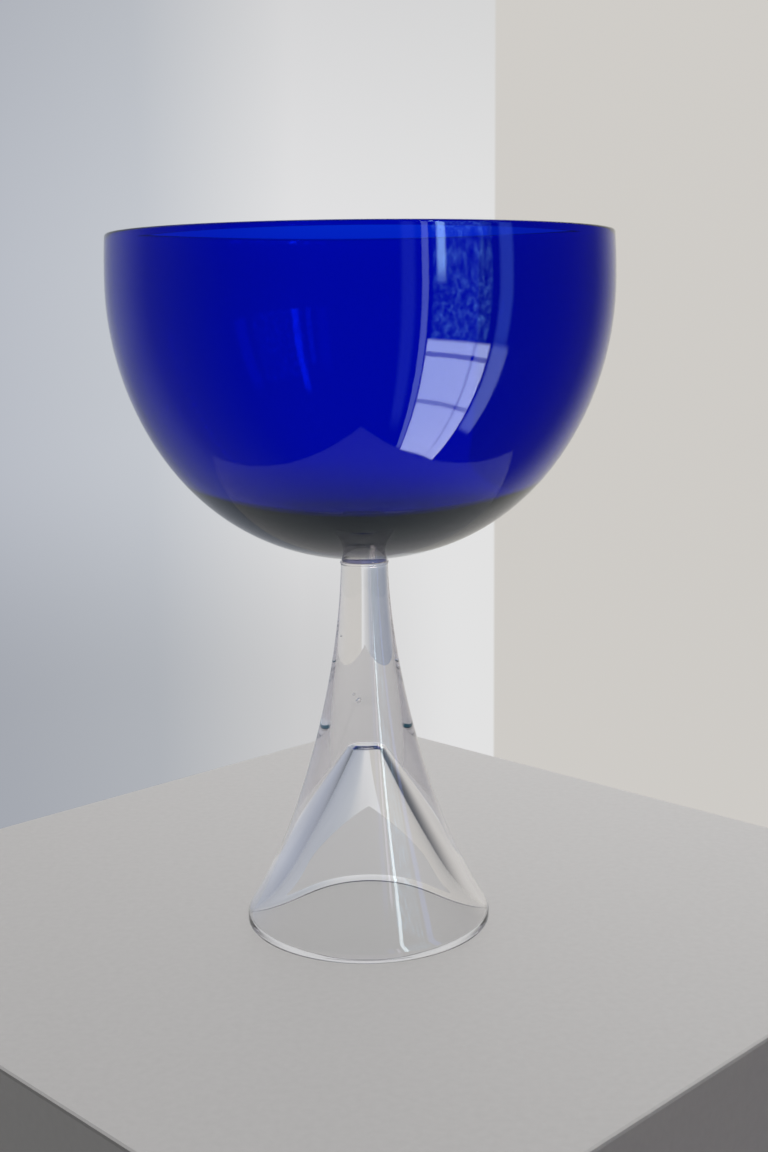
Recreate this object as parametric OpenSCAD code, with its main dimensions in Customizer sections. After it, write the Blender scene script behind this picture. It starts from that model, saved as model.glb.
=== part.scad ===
// Footed glass bowl: a deep coloured bowl bonded by a small clear disc
// to a trumpet foot that is solid above and hollow below.
// Origin at the centre of the resting ring, +Z up the axis of revolution.

/* [Bowl] */
// Height of the bowl alone, seat to lip
bowl_h = 154.8; // [140:0.2:175]
// Outer radius at the lip
lip_r = 120; // [112:0.5:120.5]
// Outer radius at the widest ring
bowl_r = 120.8; // [120.5:0.1:130]
// How far the widest ring lies below the lip
widest_drop = 24; // [15:1:40]
// Thickness of the rounded lip
lip_t = 2.6; // [2:0.1:3]
// Wall thickness of the side, measured square to the glass
wall_t = 3; // [2.6:0.1:4]
// Thickness of the glass at the centre of the base
base_t = 11.5; // [8:0.5:16]
// Radius inside which the wall starts to thicken towards the base
thick_from = 87; // [80:1:95]
// Radius inside which the base has its full thickness
thick_to = 38; // [25:1:45]
// Fullness of the outer side, as a length of the upper curve handle
side_full = 60; // [50:1:68]
// Fullness of the outer base, as a length of the lower curve handle
base_full = 80.9; // [70:0.1:90]

/* [Bond disc] */
// Radius of the clear disc between bowl and stem
merese_r = 11.2; // [9:0.1:11.4]
// Thickness of the disc
merese_t = 2.5; // [1.5:0.1:4]

/* [Foot] */
// Height of the foot, table to top of stem
foot_h = 184.2; // [165:0.1:200]
// Radius of the narrow top of the stem
stem_r = 11.6; // [11:0.1:14]
// Widest radius of the foot, at its rounded rim
foot_r = 61.5; // [58:0.5:66]
// Height at which the trumpet meets the rounded rim
rim_h = 8; // [7:0.5:10]
// How far inside the widest radius it meets the rim
rim_in = 1.5; // [1:0.1:2]
// Rounding of the rim's lower outer edge
rim_round = 1.8; // [1.2:0.1:2]
// How far the waist stays narrow, as a length of the upper curve handle
waist_len = 55.6; // [50:0.2:62]
// Spread of the stem over that length
waist_out = 1.4; // [1:0.1:3]
// Height of the lower curve handle above the rim
flare_h = 42; // [38:1:45]
// Inward reach of the lower curve handle
flare_in = 27; // [24:0.5:29]
// Ring at the top edge of the stem, beyond the stem itself
bead_out = 0.5; // [0.2:0.1:0.8]

/* [Hollow of the foot] */
// Height of the domed top of the hollow
hollow_h = 91; // [86:0.5:94]
// Radius of that top
hollow_top_r = 6.6; // [5:0.2:7.4]
// Height of the middle point of the hollow's side
knee_h = 46.3; // [44:0.1:50]
// Radius of the hollow at that point
knee_r = 27.6; // [25:0.1:28.6]
// Glass left at the resting ring, across its width
ring_w = 3; // [2.6:0.1:3.6]
// Bevel of the inner edge of the ring
ring_bevel = 0.4; // [0.3:0.1:0.6]

/* [Hidden] */
$fn = 128;

steps = 36;
lip_steps = 8;
seat_z = foot_h + merese_t;
seat_r = merese_r + 0.6;
lip_z = seat_z + bowl_h;
widest_z = lip_z - widest_drop;
bowl_sag = 0.5;
bottom_z = seat_z - bowl_sag;
lip_cz = lip_z - lip_t / 2;
lip_cr = lip_r - lip_t / 2;

// One point of a cubic curve through a and d with handles b and c
function cubic(a, b, c, d, t) =
    pow(1 - t, 3) * a + 3 * t * pow(1 - t, 2) * b + 3 * t * t * (1 - t) * c + pow(t, 3) * d;

// Outer side of the bowl, from the widest ring down towards the axis
bowl_out = [for (i = [0 : steps]) cubic(
    [bowl_r, widest_z], [bowl_r, widest_z - side_full],
    [base_full, bottom_z], [0, bottom_z], i / steps)];

// Direction of the same curve, not yet a unit
function cubic_dir(a, b, c, d, t) =
    pow(1 - t, 2) * (b - a) + 2 * t * (1 - t) * (c - b) + t * t * (d - c);

// 0 below 0, 1 above 1, and an even S between
function smooth(x) = let (u = min(1, max(0, x))) u * u * (3 - 2 * u);

// Glass thickness where the outer side has radius r
function glass_t(r) =
    wall_t + (base_t - wall_t) * smooth((thick_from - r) / (thick_from - thick_to));

// Inner side of the bowl: every outer point moved square to the curve by the thickness there
bowl_in = [for (i = [0 : steps])
    let (p = bowl_out[i],
         d = cubic_dir([bowl_r, widest_z], [bowl_r, widest_z - side_full],
                       [base_full, bottom_z], [0, bottom_z], i / steps),
         q = p + glass_t(p[0]) * [d[1], -d[0]] / norm(d))
    [max(0, q[0]), q[1]]];

// Outer side between the widest ring and the lip: closes in with the square of the height
function neck_out(u) = [bowl_r + (lip_r - bowl_r) * u * u, widest_z + (lip_cz - widest_z) * u];

// Inner side over the same height
function neck_in(u) = [
    (bowl_r - wall_t) + (lip_r - lip_t - bowl_r + wall_t) * u * u,
    widest_z + (lip_cz - widest_z) * u];

// Blown shell with a fire-polished lip and a small flat seat under its base
module bowl() {
    color([0.02, 0.05, 0.62])
    rotate_extrude()
    polygon(concat(
        [[0, seat_z], [seat_r, seat_z]],
        [for (i = [steps - 1 : -1 : 0]) if (bowl_out[i][0] > seat_r + 1) bowl_out[i]],
        [for (i = [1 : 5]) neck_out(i / 6)],
        [for (i = [0 : lip_steps]) [
            lip_cr + lip_t / 2 * cos(180 * i / lip_steps),
            lip_cz + lip_t / 2 * sin(180 * i / lip_steps)]],
        [for (i = [5 : -1 : 1]) neck_in(i / 6)],
        bowl_in));
}

// Clear disc that bonds the bowl's seat to the flat top of the stem
module merese() {
    color([0.82, 0.86, 0.92])
    translate([0, 0, foot_h])
    cylinder(r = merese_r, h = merese_t);
}

// Outer side of the foot, from its rounded rim up to the stem
foot_out = [for (i = [0 : steps]) cubic(
    [foot_r - rim_in, rim_h], [foot_r - rim_in - flare_in, rim_h + flare_h],
    [stem_r + waist_out, foot_h - waist_len], [stem_r, foot_h - 1.6], i / steps)];

// Rounded lower edge of the rim and its upright side
rim_low = [for (i = [0 : 6]) [
    foot_r - rim_round + rim_round * sin(15 * i), 2.2 - 2.2 * cos(15 * i)]];
rim_side = [for (i = [1 : 5]) cubic(
    [foot_r, 2.2], [foot_r, 5.2], [foot_r - 0.2, rim_h - 2.1], [foot_r - rim_in, rim_h], i / 6)];

// Side of the hollow, in two curves that meet at the middle point with one slope
top_slope = 0.47;
knee_slope = 0.53;
end_slope = 0.9;
crown_r = hollow_top_r - 0.5;
hollow_up = [for (i = [0 : 18]) cubic(
    [crown_r, hollow_h - 1.1], [crown_r + top_slope * 20, hollow_h - 21.1],
    [knee_r - knee_slope * 15, knee_h + 15], [knee_r, knee_h], i / 18)];
hollow_down = [for (i = [1 : 24]) cubic(
    [knee_r, knee_h], [knee_r + knee_slope * 19, knee_h - 19],
    [foot_r - ring_w - end_slope * 19, ring_bevel * 1.5 + 19],
    [foot_r - ring_w, ring_bevel * 1.5], i / 24)];

// Solid stem above, hollow trumpet with a small domed top below
module foot() {
    color([0.86, 0.89, 0.93])
    rotate_extrude()
    polygon(concat(
        rim_low, rim_side, foot_out,
        [[stem_r + bead_out, foot_h - 0.7], [stem_r + bead_out, foot_h - 0.3],
         [stem_r + bead_out - 0.3, foot_h], [0, foot_h], [0, hollow_h]],
        [for (i = [0 : 4]) [
            crown_r - 2.9 + 2.9 * sin(15 * i), hollow_h - 2.2 + 2.2 * cos(15 * i)]],
        hollow_up, hollow_down,
        [[foot_r - ring_w + ring_bevel, 0]]));
}

bowl();
merese();
foot();
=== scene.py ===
"""Visual model of the footed glass bowl: lathe-turned glass meshes, glass materials, stage, light and camera."""

import math

import bpy
from mathutils import Matrix, Vector, noise


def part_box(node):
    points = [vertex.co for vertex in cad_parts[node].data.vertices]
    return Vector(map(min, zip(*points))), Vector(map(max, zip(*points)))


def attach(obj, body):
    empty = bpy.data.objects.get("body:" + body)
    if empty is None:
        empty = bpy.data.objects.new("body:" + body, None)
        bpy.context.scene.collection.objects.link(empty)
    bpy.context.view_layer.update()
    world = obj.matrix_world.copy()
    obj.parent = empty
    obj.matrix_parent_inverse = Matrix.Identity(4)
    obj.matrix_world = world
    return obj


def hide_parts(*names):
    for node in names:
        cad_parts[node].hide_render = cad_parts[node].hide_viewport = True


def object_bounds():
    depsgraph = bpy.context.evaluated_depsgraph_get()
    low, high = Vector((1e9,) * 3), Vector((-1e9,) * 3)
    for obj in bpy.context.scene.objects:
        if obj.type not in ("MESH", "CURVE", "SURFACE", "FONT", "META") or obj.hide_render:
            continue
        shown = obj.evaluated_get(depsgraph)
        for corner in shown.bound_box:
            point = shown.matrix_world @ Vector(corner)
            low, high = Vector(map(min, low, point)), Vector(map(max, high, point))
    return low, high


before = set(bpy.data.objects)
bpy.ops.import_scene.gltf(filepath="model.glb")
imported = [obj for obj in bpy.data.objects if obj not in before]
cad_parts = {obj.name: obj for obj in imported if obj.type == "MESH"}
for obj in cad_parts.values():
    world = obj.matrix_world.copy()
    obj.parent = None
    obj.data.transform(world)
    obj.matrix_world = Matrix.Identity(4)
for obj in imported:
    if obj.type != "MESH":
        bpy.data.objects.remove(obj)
cad_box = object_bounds()

MM = 0.001


# ---------------------------------------------------------------- outlines

BOWL_R = (cad_box[1][0] - cad_box[0][0]) / 2 - 0.0001  # widest ring, kept just inside the CAD box
LIP_R = BOWL_R - 0.8 * MM  # the lip closes in a little
LIP_HALF = 1.3 * MM  # half the thickness of the rounded lip
WIDEST_DROP = 24 * MM  # how far the widest ring lies below the lip
BOTTOM_DROP = 0.5 * MM  # how far the outer curve would run below the flat seat
SIDE_FULL, BASE_FULL = 60 * MM, 80.9 * MM  # handles of the bowl's outer side and base
WALL_T, BASE_T = 2.95 * MM, 11.45 * MM  # glass at the bowl's side and at the centre of its base
THICKEN_FROM, THICKEN_TO = 87 * MM, 38 * MM  # radii between which the wall grows into the base
SIDE_STEPS, NECK_STEPS = 140, 10

STEM_R = 11.6 * MM
HOLLOW_H = 91 * MM  # domed top of the foot's hollow
CROWN_R, CROWN_DROP = 6.1 * MM, 1.1 * MM  # where that dome meets the side of the hollow
KNEE_R, KNEE_Z = 27.6 * MM, 46.3 * MM  # middle point of the hollow's side
TOP_SLOPE, KNEE_SLOPE, END_SLOPE = 0.47, 0.53, 0.90  # spread of that side at its top, middle and end
TOP_REACH, KNEE_UP, KNEE_DOWN, END_REACH = 20 * MM, 15 * MM, 19 * MM, 19 * MM  # heights of its handles
FLARE_R, FLARE_Z = 59.95 * MM, 8 * MM  # where the trumpet meets its rounded rim
FLARE_IN, FLARE_UP = 27 * MM, 42 * MM  # handle of the trumpet above that rim
WAIST_OUT, WAIST_LEN = 1.4 * MM, 55.6 * MM  # handle of the narrow stem
RIM_R = FLARE_R + 1.5 * MM  # widest radius of that rim
RIM_ROUND, RIM_ROUND_H = 2.0 * MM, 2.2 * MM  # width and height of the rounding of its lower edge
RING_W, RING_EDGE = 3 * MM, 0.6 * MM  # ground ring across its width, and the height of its softened edge


def cubic(a, b, c, d, n):
    """Points of a cubic curve from a to d with handles b and c, ends included."""
    out = []
    for i in range(n + 1):
        t = i / n
        k = ((1 - t) ** 3, 3 * t * (1 - t) ** 2, 3 * t * t * (1 - t), t**3)
        out.append(tuple(sum(w * p[j] for w, p in zip(k, (a, b, c, d))) for j in (0, 1)))
    return out


def cubic_normals(a, b, c, d, n):
    """Unit normals on the left of the same curve."""
    out = []
    for i in range(n + 1):
        t = i / n
        x, z = (
            (1 - t) ** 2 * (b[j] - a[j]) + 2 * t * (1 - t) * (c[j] - b[j]) + t * t * (d[j] - c[j])
            for j in (0, 1)
        )
        size = math.hypot(x, z)
        out.append((-z / size, x / size))
    return out


def arc(cx, cz, rx, rz, start, stop, n):
    """Points of an elliptical arc, angles in degrees."""
    out = []
    for i in range(n + 1):
        a = math.radians(start + (stop - start) * i / n)
        out.append((cx + rx * math.cos(a), cz + rz * math.sin(a)))
    return out


def smooth(x):
    x = min(1.0, max(0.0, x))
    return x * x * (3 - 2 * x)


def bowl_outline():
    """Half section of the bowl, from the centre of its seat, round the lip, to the centre of its floor."""
    low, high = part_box("bowl")
    seat, lip = low[2] + 0.02 * MM, high[2]
    bottom = low[2] - BOTTOM_DROP
    widest = lip - WIDEST_DROP
    lip_mid = lip - LIP_HALF

    def neck(from_r, to_r):
        """From the widest ring up to the lip, closing in with the square of the height."""
        steps = [i / NECK_STEPS for i in range(1, NECK_STEPS)]
        return [(from_r + (to_r - from_r) * u**2, widest + (lip_mid - widest) * u) for u in steps]

    handles = ((0, bottom), (BASE_FULL, bottom), (BOWL_R, widest - SIDE_FULL), (BOWL_R, widest))
    whole = cubic(*handles, SIDE_STEPS)
    side = [p for p in whole if p[0] > 12.6 * MM]
    rim = arc(LIP_R - LIP_HALF, lip_mid, LIP_HALF, LIP_HALF, 0, 180, 14)
    neck_in = neck(BOWL_R - WALL_T, LIP_R - 2 * LIP_HALF)[::-1]
    inside = []
    for (r, z), (nr, nz) in zip(whole, cubic_normals(*handles, SIDE_STEPS)):
        t = WALL_T + (BASE_T - WALL_T) * smooth((THICKEN_FROM - r) / (THICKEN_FROM - THICKEN_TO))
        inside.append((max(0.0, r + nr * t), z + nz * t))
    inside.reverse()
    seat_edge = [(0, seat), (11.0 * MM, seat), (11.7 * MM, seat + 0.03 * MM)]
    return seat_edge + side + neck(BOWL_R, LIP_R) + rim + neck_in + inside


def merese_outline():
    """Half section of the bond disc, with softly rounded edges."""
    low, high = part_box("merese")
    gap = 0.03 * MM
    r = high[0] - gap
    z0, z1 = low[2] + gap, high[2] - gap
    e = 0.5 * MM
    return (
        [(0, z0)]
        + arc(r - e, z0 + e, e, e, -90, 0, 6)
        + [(r - 0.12 * MM, (z0 + z1) / 2)]
        + arc(r - e, z1 - e, e, e, 0, 90, 6)
        + [(0, z1)]
    )


def foot_outline():
    """Half section of the foot, from the ground ring up the outside and back down the hollow."""
    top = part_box("foot")[1][2]
    rim = arc(RIM_R - RIM_ROUND, RIM_ROUND_H, RIM_ROUND, RIM_ROUND_H, -90, 0, 10)
    rim += cubic(
        (RIM_R, RIM_ROUND_H),
        (RIM_R, RIM_ROUND_H + 3 * MM),
        (RIM_R - 0.2 * MM, FLARE_Z - 2.1 * MM),
        (FLARE_R, FLARE_Z),
        10,
    )[1:]
    out = cubic(
        (FLARE_R, FLARE_Z),
        (FLARE_R - FLARE_IN, FLARE_Z + FLARE_UP),
        (STEM_R + WAIST_OUT, top - WAIST_LEN),
        (STEM_R, top - 1.8 * MM),
        130,
    )
    lip = [
        (STEM_R + 0.12 * MM, top - 1.3 * MM),
        (STEM_R + 0.34 * MM, top - 0.95 * MM),
        (STEM_R + 0.45 * MM, top - 0.6 * MM),
        (STEM_R + 0.42 * MM, top - 0.28 * MM),
        (STEM_R + 0.22 * MM, top - 0.06 * MM),
        (STEM_R - 0.1 * MM, top),
        (0, top),
    ]
    dome_r, dome_h = 2.9 * MM, 2.2 * MM
    crown = [(0, HOLLOW_H)] + arc(CROWN_R - dome_r, HOLLOW_H - dome_h, dome_r, dome_h, 90, 30, 10)
    end_r, end_z = RIM_R - RING_W, RING_EDGE
    bore = cubic(
        (CROWN_R, HOLLOW_H - CROWN_DROP),
        (CROWN_R + TOP_SLOPE * TOP_REACH, HOLLOW_H - CROWN_DROP - TOP_REACH),
        (KNEE_R - KNEE_SLOPE * KNEE_UP, KNEE_Z + KNEE_UP),
        (KNEE_R, KNEE_Z),
        50,
    )
    bore += cubic(
        (KNEE_R, KNEE_Z),
        (KNEE_R + KNEE_SLOPE * KNEE_DOWN, KNEE_Z - KNEE_DOWN),
        (end_r - END_SLOPE * END_REACH, end_z + END_REACH),
        (end_r, end_z),
        60,
    )[1:]
    ground = cubic(
        (end_r, end_z),
        (end_r + 0.16 * MM, end_z - 0.3 * MM),
        (end_r + 0.2 * MM, 0),
        (end_r + 0.5 * MM, 0),
        6,
    )[1:]
    return rim + out[1:] + lip + crown + bore + ground


# ---------------------------------------------------------------- meshes


def lathe(name, outline, segments, closed=False, wobble=0.0, seed=0.0):
    """A closed turned mesh. wobble is how far hand-working moves the surface inwards, in metres."""
    verts, faces, rings = [], [], []
    for r, z in outline:
        if r < 1e-7:
            rings.append([len(verts)])
            verts.append((0, 0, z))
            continue
        ring = []
        for s in range(segments):
            a = 2 * math.pi * s / segments
            ca, sa = math.cos(a), math.sin(a)
            rr = r
            if wobble:
                p = Vector((ca * r * 14 + seed, sa * r * 14, z * 22))
                q = 0.5 + 0.5 * noise.noise(p)
                rr -= wobble * (0.6 * q + 0.4 * (0.5 + 0.5 * math.cos(2 * a + seed + z * 9)))
            ring.append(len(verts))
            verts.append((ca * rr, sa * rr, z))
        rings.append(ring)
    pairs = list(zip(rings, rings[1:]))
    if closed:
        pairs.append((rings[-1], rings[0]))
    for a, b in pairs:
        if len(a) == 1 and len(b) == 1:
            continue
        for s in range(segments):
            t = (s + 1) % segments
            if len(a) == 1:
                faces.append((a[0], b[t], b[s]))
            elif len(b) == 1:
                faces.append((a[s], a[t], b[0]))
            else:
                faces.append((a[s], a[t], b[t], b[s]))
    return build(name, verts, faces)


def build(name, verts, faces):
    mesh = bpy.data.meshes.new(name)
    mesh.from_pydata([Vector(v) for v in verts], [], faces)
    mesh.validate()
    mesh.update()
    for p in mesh.polygons:
        p.use_smooth = True
    obj = bpy.data.objects.new(name, mesh)
    bpy.context.scene.collection.objects.link(obj)
    return obj


def bubble(verts, faces, centre, size, tilt):
    """Adds a small closed void to a solid's vertex and face lists, wound inwards."""
    rows, cols = 10, 18
    base = len(verts)
    turn = Matrix.Rotation(tilt, 3, "Y")
    for i in range(rows + 1):
        f = math.pi * i / rows
        for j in range(cols):
            a = 2 * math.pi * j / cols
            if i in (0, rows) and j:
                continue
            across = math.sin(f) * (1 - 0.25 * math.cos(f))
            p = Vector((size[0] * across * math.cos(a), size[1] * across * math.sin(a), size[2] * math.cos(f)))
            verts.append(tuple(turn @ p + Vector(centre)))

    def at(i, j):
        """Index of a point; each pole has only one."""
        if i == 0:
            return base
        if i == rows:
            return base + 1 + (rows - 1) * cols
        return base + 1 + (i - 1) * cols + j % cols

    for i in range(rows):
        for j in range(cols):
            quad = [at(i, j), at(i, j + 1), at(i + 1, j + 1), at(i + 1, j)]
            face = []
            for k in quad:
                if k not in face:
                    face.append(k)
            if len(face) > 2:
                faces.append(tuple(face))


bowl = lathe("cobalt_bowl", bowl_outline(), 256, wobble=0.09 * MM, seed=1.7)
merese = lathe("clear_merese", merese_outline(), 96)
foot = lathe("trumpet_foot", foot_outline(), 224, closed=True, wobble=0.04 * MM, seed=4.1)

# Seed bubbles in the solid stem: the foot is built again with small voids in its glass
fv = [tuple(v.co) for v in foot.data.vertices]
ff = [tuple(p.vertices) for p in foot.data.polygons]
for place, half_size, lean in (
    ((-2.6, -3.5, 114.5), (0.95, 0.9, 1.4), 0.5),
    ((-4.3, -3.0, 117.5), (0.5, 0.5, 0.7), 0.3),
    ((-8.0, 1.5, 146.0), (0.4, 0.4, 0.55), 0.0),
):
    bubble(fv, ff, tuple(x * MM for x in place), tuple(x * MM for x in half_size), lean)
old = foot.data
bpy.data.objects.remove(foot)
bpy.data.meshes.remove(old)
foot = build("trumpet_foot", fv, ff)


# ---------------------------------------------------------------- materials


def start_material(name):
    """A material with one Principled BSDF, and the functions that add nodes and links to it."""
    mat = bpy.data.materials.new(name)
    mat.use_nodes = True
    tree = mat.node_tree
    tree.nodes.clear()
    out = tree.nodes.new("ShaderNodeOutputMaterial")
    bsdf = tree.nodes.new("ShaderNodeBsdfPrincipled")
    tree.links.new(bsdf.outputs["BSDF"], out.inputs["Surface"])
    return mat, tree.nodes.new, tree.links.new, out, bsdf


def noise_node(new, link, coord, scale, detail):
    n = new("ShaderNodeTexNoise")
    n.inputs["Scale"].default_value = scale
    n.inputs["Detail"].default_value = detail
    link(coord.outputs["Object"], n.inputs["Vector"])
    return n


def add_bump(new, link, height, strength, distance, bsdf):
    bump = new("ShaderNodeBump")
    bump.inputs["Strength"].default_value = strength
    bump.inputs["Distance"].default_value = distance
    link(height, bump.inputs["Height"])
    link(bump.outputs["Normal"], bsdf.inputs["Normal"])


def glass(name, ior, absorb, density, rough_lo, rough_hi, wave, mirror=(1, 1, 1)):
    """Polished glass: clear surface, colour from absorption inside, faint handling marks and tooling waves."""
    mat, new, link, out, bsdf = start_material(name)
    bsdf.inputs["Base Color"].default_value = (1, 1, 1, 1)
    bsdf.inputs["IOR"].default_value = ior
    bsdf.inputs["Transmission Weight"].default_value = 1
    bsdf.inputs["Specular Tint"].default_value = (*mirror, 1)
    vol = new("ShaderNodeVolumeAbsorption")
    vol.inputs["Color"].default_value = (*absorb, 1)
    vol.inputs["Density"].default_value = density
    link(vol.outputs["Volume"], out.inputs["Volume"])

    coord = new("ShaderNodeTexCoord")
    smudge = noise_node(new, link, coord, 34, 5)
    smudge.inputs["Roughness"].default_value = 0.62
    marks = new("ShaderNodeMapRange")
    marks.interpolation_type = "SMOOTHSTEP"
    marks.inputs["From Min"].default_value = 0.5
    marks.inputs["From Max"].default_value = 0.78
    marks.inputs["To Min"].default_value = rough_lo
    marks.inputs["To Max"].default_value = rough_hi
    link(smudge.outputs["Fac"], marks.inputs["Value"])
    link(marks.outputs["Result"], bsdf.inputs["Roughness"])
    add_bump(new, link, noise_node(new, link, coord, 16, 1.5).outputs["Fac"], 1, wave, bsdf)
    return mat


# Arguments: name, index of refraction, absorption colour and density, least and most roughness, wave height
cobalt = glass("cobalt_glass", 1.52, (0.0, 0.45, 0.959), 2600, 0.012, 0.07, 0.05 * MM, (0.5, 0.72, 0.95))
clear = glass("clear_glass", 1.5, (0.93, 0.92, 0.95), 12, 0.008, 0.06, 0.03 * MM)
bond = glass("clear_bond", 1.5, (0.20, 0.20, 0.50), 80, 0.02, 0.08, 0.02 * MM)
for piece, mat, node, slot in (
    (bowl, cobalt, "bowl", "cobalt_glass"),
    (merese, bond, "merese", "clear_bond"),
    (foot, clear, "foot", "clear_glass"),
):
    piece.data.materials.append(mat)
    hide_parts(node)
    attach(piece, "root")


# ---------------------------------------------------------------- stage


def plinth():
    """Pale painted square plinth under the bowl, set corner-on, with softened edges."""
    half = 2.8 * LIP_R
    cy = 0.23 * LIP_R
    top, depth, e = -0.00006, 0.55, 0.0016
    rows = [(half - e * 1.4, top), (half - e * 0.4, top - 0.3 * e), (half, top - e), (half, top - depth)]
    verts, faces = [], []
    for h, z in rows:
        verts += [(0, cy - h, z), (h, cy, z), (0, cy + h, z), (-h, cy, z)]
    faces.append((0, 1, 2, 3))
    for k in range(len(rows) - 1):
        for i in range(4):
            j = (i + 1) % 4
            faces.append((4 * k + i, 4 * (k + 1) + i, 4 * (k + 1) + j, 4 * k + j))
    mesh = bpy.data.meshes.new("plinth")
    mesh.from_pydata(verts, [], faces)
    mesh.update()
    obj = bpy.data.objects.new("plinth", mesh)
    bpy.context.scene.collection.objects.link(obj)
    mat, new, link, _, bsdf = start_material("plinth_paint")
    bsdf.inputs["Roughness"].default_value = 0.6
    grain = noise_node(new, link, new("ShaderNodeTexCoord"), 260, 6)
    paint = new("ShaderNodeValToRGB")
    for stop, at, colour in zip(
        paint.color_ramp.elements, (0.3, 0.7), ((0.70, 0.685, 0.675, 1), (0.73, 0.715, 0.705, 1))
    ):
        stop.position = at
        stop.color = colour
    link(grain.outputs["Fac"], paint.inputs["Fac"])
    link(paint.outputs["Color"], bsdf.inputs["Base Color"])
    add_bump(new, link, grain.outputs["Fac"], 0.15, 0.3 * MM, bsdf)
    mesh.materials.append(mat)


plinth()


# ---------------------------------------------------------------- surroundings

world = bpy.data.worlds.new("studio")
bpy.context.scene.world = world
world.use_nodes = True
wt = world.node_tree
wt.nodes.clear()


def wmath(op, a, b=None):
    """A Math node. a and b are numbers or sockets."""
    n = wt.nodes.new("ShaderNodeMath")
    n.operation = op
    for i, v in enumerate((a, b)):
        if v is None:
            continue
        if isinstance(v, (int, float)):
            n.inputs[i].default_value = v
        else:
            wt.links.new(v, n.inputs[i])
    return n.outputs["Value"]


def step(x, at, soft):
    """0 below at, 1 above it, blended over soft each way."""
    n = wt.nodes.new("ShaderNodeMapRange")
    n.interpolation_type = "SMOOTHSTEP"
    n.inputs["From Min"].default_value = at - soft
    n.inputs["From Max"].default_value = at + soft
    wt.links.new(x, n.inputs["Value"])
    return n.outputs["Result"]


def between(x, a, b, soft):
    """1 between a and b, 0 outside, with soft edges."""
    return wmath("MULTIPLY", step(x, a, soft), wmath("SUBTRACT", 1.0, step(x, b, soft)))


def add(a, b):
    n = wt.nodes.new("ShaderNodeVectorMath")
    n.operation = "ADD"
    wt.links.new(a, n.inputs[0])
    wt.links.new(b, n.inputs[1])
    return n.outputs["Vector"]


def scaled(colour, value):
    """A colour, plain or from a socket, times the number that a socket gives."""
    n = wt.nodes.new("ShaderNodeVectorMath")
    n.operation = "SCALE"
    if isinstance(colour, tuple):
        n.inputs[0].default_value = colour
    else:
        wt.links.new(colour, n.inputs[0])
    wt.links.new(value, n.inputs["Scale"])
    return n.outputs["Vector"]


def blend(factor, a, b):
    """a where factor is 0, b where it is 1."""
    return add(scaled(a, wmath("SUBTRACT", 1.0, factor)), scaled(b, factor))


def ramp(x, stops):
    """A colour ramp over x, from pairs of position and colour."""
    n = wt.nodes.new("ShaderNodeValToRGB")
    els = n.color_ramp.elements
    while len(els) > 1:
        els.remove(els[0])
    els[0].position = stops[0][0]
    els[0].color = (*stops[0][1], 1)
    for pos, col in stops[1:]:
        e = els.new(pos)
        e.color = (*col, 1)
    wt.links.new(x, n.inputs["Fac"])
    return n.outputs["Color"]


tc = wt.nodes.new("ShaderNodeTexCoord")
sep = wt.nodes.new("ShaderNodeSeparateXYZ")
wt.links.new(tc.outputs["Generated"], sep.inputs["Vector"])
dx, dy, dz = sep.outputs["X"], sep.outputs["Y"], sep.outputs["Z"]
el = wmath("DEGREES", wmath("ARCSINE", dz))
back_az = wmath("DEGREES", wmath("ARCTAN2", dx, dy))  # 0 behind the bowl, + to its right
front_az = wmath("DEGREES", wmath("ARCTAN2", dx, wmath("MULTIPLY", dy, -1.0)))  # 0 towards the viewer


def az_ramp(az, reach, stops):
    """A colour ramp over an azimuth from -reach to reach, its stops in degrees."""
    at = wmath("DIVIDE", wmath("ADD", az, reach), 2 * reach)
    return ramp(at, [((deg + reach) / (2 * reach), colour) for deg, colour in stops])


# Behind: two pale walls that meet in a sharp corner. The left one darkens away from the corner and downwards
CORNER_AZ = 4.2
left_wall = az_ramp(back_az, 40.0, [
    (-40, (0.41, 0.44, 0.52)),
    (-14.5, (0.48, 0.505, 0.56)),
    (-8.7, (0.55, 0.575, 0.62)),
    (-5.5, (0.68, 0.69, 0.71)),
    (-3.2, (0.76, 0.76, 0.77)),
    (CORNER_AZ, (0.76, 0.76, 0.76)),
])
low_shade = wmath("SUBTRACT", 1.0, step(el, -9.5, 5.0))
away = wmath("SUBTRACT", 1.0, step(back_az, 0.0, 3.0))
falling = wmath("SUBTRACT", 1.0, wmath("MULTIPLY", wmath("MULTIPLY", low_shade, away), 0.22))
rising = wmath("SUBTRACT", 1.0, wmath("MULTIPLY", step(el, 8.0, 8.0), 0.16))
left_wall = scaled(left_wall, wmath("MULTIPLY", falling, rising))
right_wall = scaled((0.63, 0.61, 0.58), wmath("ADD", wmath("MULTIPLY", step(el, 0.0, 16.0), 0.02), 0.98))
walls = blend(step(back_az, CORNER_AZ, 0.06), left_wall, right_wall)

# Ahead: a dim room, and a tall open doorway on the right with a bright ground outside
room = az_ramp(front_az, 180.0, [
    (-180, (0.60, 0.61, 0.66)),
    (-140, (0.40, 0.41, 0.46)),
    (-105, (0.17, 0.19, 0.22)),
    (-60, (0.03, 0.08, 0.11)),
    (-10, (0.01, 0.07, 0.10)),
    (20, (0.01, 0.07, 0.10)),
    (70, (0.04, 0.08, 0.11)),
    (105, (0.07, 0.08, 0.10)),
    (140, (0.13, 0.13, 0.14)),
    (180, (0.42, 0.41, 0.40)),
])
leaves = wt.nodes.new("ShaderNodeTexNoise")
leaves.inputs["Scale"].default_value = 26
leaves.inputs["Detail"].default_value = 8
wt.links.new(tc.outputs["Generated"], leaves.inputs["Vector"])
speckle = wmath("MULTIPLY", wmath("POWER", leaves.outputs["Fac"], 4.0), 13.0)


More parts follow.
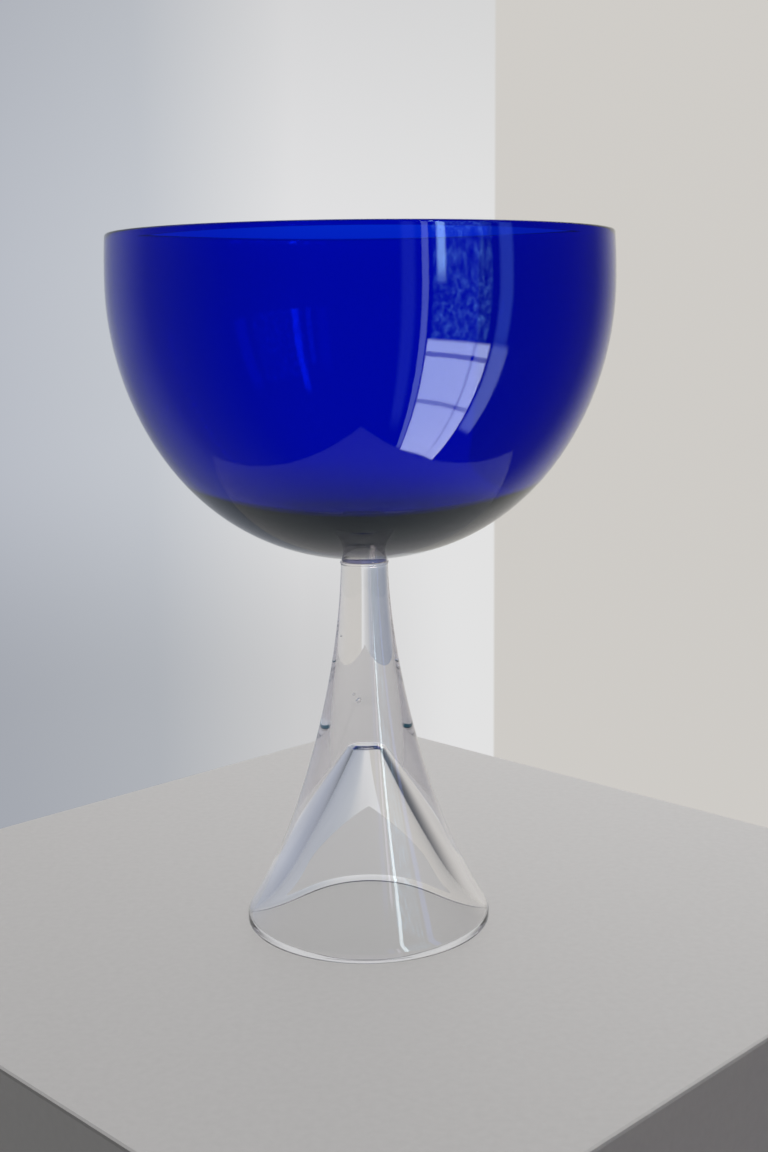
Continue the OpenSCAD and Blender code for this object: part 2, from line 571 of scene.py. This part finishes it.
def patch(az, el_range, colour, soft_az=1.0, soft_el=2.0, factor=None):
    """A bright region between two azimuths and two elevations."""
    value = wmath("MULTIPLY", between(front_az, *az, soft_az), between(el, *el_range, soft_el))
    if factor is not None:
        value = wmath("MULTIPLY", value, factor)
    return scaled(colour, value)


# Dark joints between the paving slabs outside: direction, middle in degrees, depth
paving = None
for angle, middle, dark in ((el, -24.4, 0.7), (el, -41.0, 0.55), (front_az, 53.4, 0.3)):
    joint = wmath("MULTIPLY", between(angle, middle - 0.8, middle + 0.8, 0.4), dark)
    paving = wmath("SUBTRACT", 1.0 if paving is None else paving, joint)

# For rays that have just left the glass the doorway is dimmed, so that the clear stem is not full of glints
lp = wt.nodes.new("ShaderNodeLightPath")
through = wmath("SUBTRACT", 1.0, wmath("MULTIPLY", lp.outputs["Is Transmission Ray"], 0.96))
ahead = room
for part in (
    patch((31.5, 58.5), (-19.0, 34.0), (0.4, 0.75, 1.1), 0.8, 2.0, speckle),  # trees outside
    patch((33.2, 36.8), (2.0, 40.0), (7.5, 9.0, 9.6), 0.8, 3.0),  # gap of sky between them
    patch((26.6, 29.4), (-60.0, 30.0), (2.6, 2.4, 3.0), 0.4, 2.0),  # lit door post
    patch((30.2, 61.0), (-61.0, -19.5), (12.0, 10.0, 9.6), 0.5, 0.8, paving),  # bright ground outside
    patch((62.5, 71.0), (-47.0, -19.5), (2.4, 2.4, 3.4), 0.8, 1.5),  # more ground beyond the door frame
    patch((62.5, 69.0), (-19.5, 34.0), (0.5, 0.8, 2.2), 1.2, 4.0),  # pale reveal above it
    patch((18.0, 23.5), (-50.0, 32.0), (0.22, 0.3, 1.0), 1.4, 5.0),  # edge of a curtain
):
    ahead = add(ahead, scaled(part, through))
# Only a ray that something has mirrored meets that room. Seen directly or straight through the glass, as in the
# views from behind, this side is a plain pale wall too
mirrored = step(lp.outputs["Glossy Depth"], 0.5, 0.1)
ahead = blend(mirrored, (0.64, 0.63, 0.62), ahead)
# The room gives way to the walls behind at the sides, 20 degrees later on the right
right_side = wmath("MULTIPLY", step(front_az, 0.0, 1.0), 20.0)
behind = step(wmath("SUBTRACT", wmath("ABSOLUTE", front_az), right_side), 120.0, 18.0)
seen = blend(behind, ahead, walls)

# Light that reaches the matt plinth is even and weak; the lamp does the rest
from_matt = step(lp.outputs["Diffuse Depth"], 0.5, 0.1)
seen = blend(from_matt, seen, (0.08, 0.079, 0.078))
bg = wt.nodes.new("ShaderNodeBackground")
wt.links.new(seen, bg.inputs["Color"])
bg.inputs["Strength"].default_value = 1.0
wo = wt.nodes.new("ShaderNodeOutputWorld")
wt.links.new(bg.outputs["Background"], wo.inputs["Surface"])


# ---------------------------------------------------------------- lamp

# A large soft light above the plinth. It casts no shadow, because glass would block it where it should not, and
# its panel is not seen in the glass
lamp_data = bpy.data.lights.new("overhead", "AREA")
lamp_data.shape = "RECTANGLE"
lamp_data.size = lamp_data.size_y = 1.3
lamp_data.energy = 23.5
lamp_data.use_shadow = False
lamp = bpy.data.objects.new("overhead", lamp_data)
bpy.context.scene.collection.objects.link(lamp)
lamp.location = (0.45, 0.55, 1.6)
aim = Vector((0, 0, 0.1)) - Vector(lamp.location)
lamp.rotation_euler = aim.to_track_quat("-Z", "Y").to_euler()
lamp.visible_camera = lamp.visible_glossy = lamp.visible_transmission = False


# ---------------------------------------------------------------- camera

cam_data = bpy.data.cameras.new("camera")
cam_data.sensor_fit = "VERTICAL"
cam_data.sensor_height = 36
cam_data.lens = 47.6
cam = bpy.data.objects.new("camera", cam_data)
bpy.context.scene.collection.objects.link(cam)
cam.location = (0.0801 * LIP_R, -6.174 * LIP_R, 2.555 * LIP_R)
pitch, roll = math.radians(-9.96), math.radians(-0.6)
cam.matrix_world = (
    Matrix.Translation(cam.location)
    @ Matrix.Rotation(math.radians(90) + pitch, 4, "X")
    @ Matrix.Rotation(roll, 4, "Z")
)
bpy.context.scene.camera = cam

scene = bpy.context.scene
scene.view_settings.view_transform = "Standard"
scene.view_settings.look = "None"
scene.cycles.max_bounces = 24
scene.cycles.transmission_bounces = 24
scene.cycles.glossy_bounces = 10
scene.cycles.sample_clamp_indirect = 8
